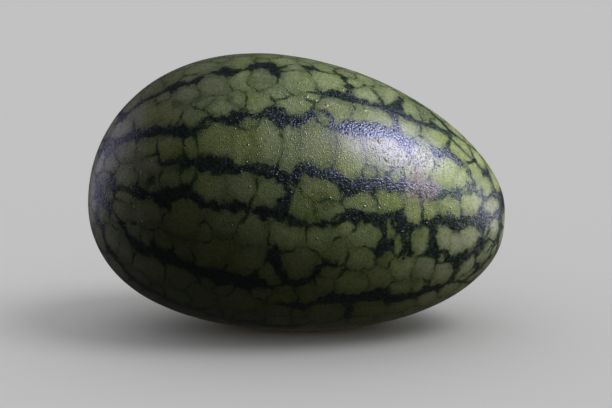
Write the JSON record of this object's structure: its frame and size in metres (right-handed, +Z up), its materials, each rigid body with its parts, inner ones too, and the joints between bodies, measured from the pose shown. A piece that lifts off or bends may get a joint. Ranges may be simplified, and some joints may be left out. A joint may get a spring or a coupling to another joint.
{
  "type": "watermelon",
  "caption": "Whole egg-shaped watermelon with dark mottled stripes on a pale green rind, lying on the small flat spot of its belly.",
  "frame": {"origin": "middle of the flat spot of the belly that the fruit rests on", "axes": "+Z up; the long axis runs along X, hanging 4.5 degrees down towards the narrow stem end at +X; the broad blossom end is at -X"},
  "size_m": [0.2998, 0.1982, 0.1986],
  "materials": {
    "rind": "natural waxy rind, satin; pale sage green with ragged blue-black green stripes along the fruit and a fine net of darker veins"
  },
  "bodies": {
    "root": {"watermelon": "rind"}
  },
  "joints": []
}
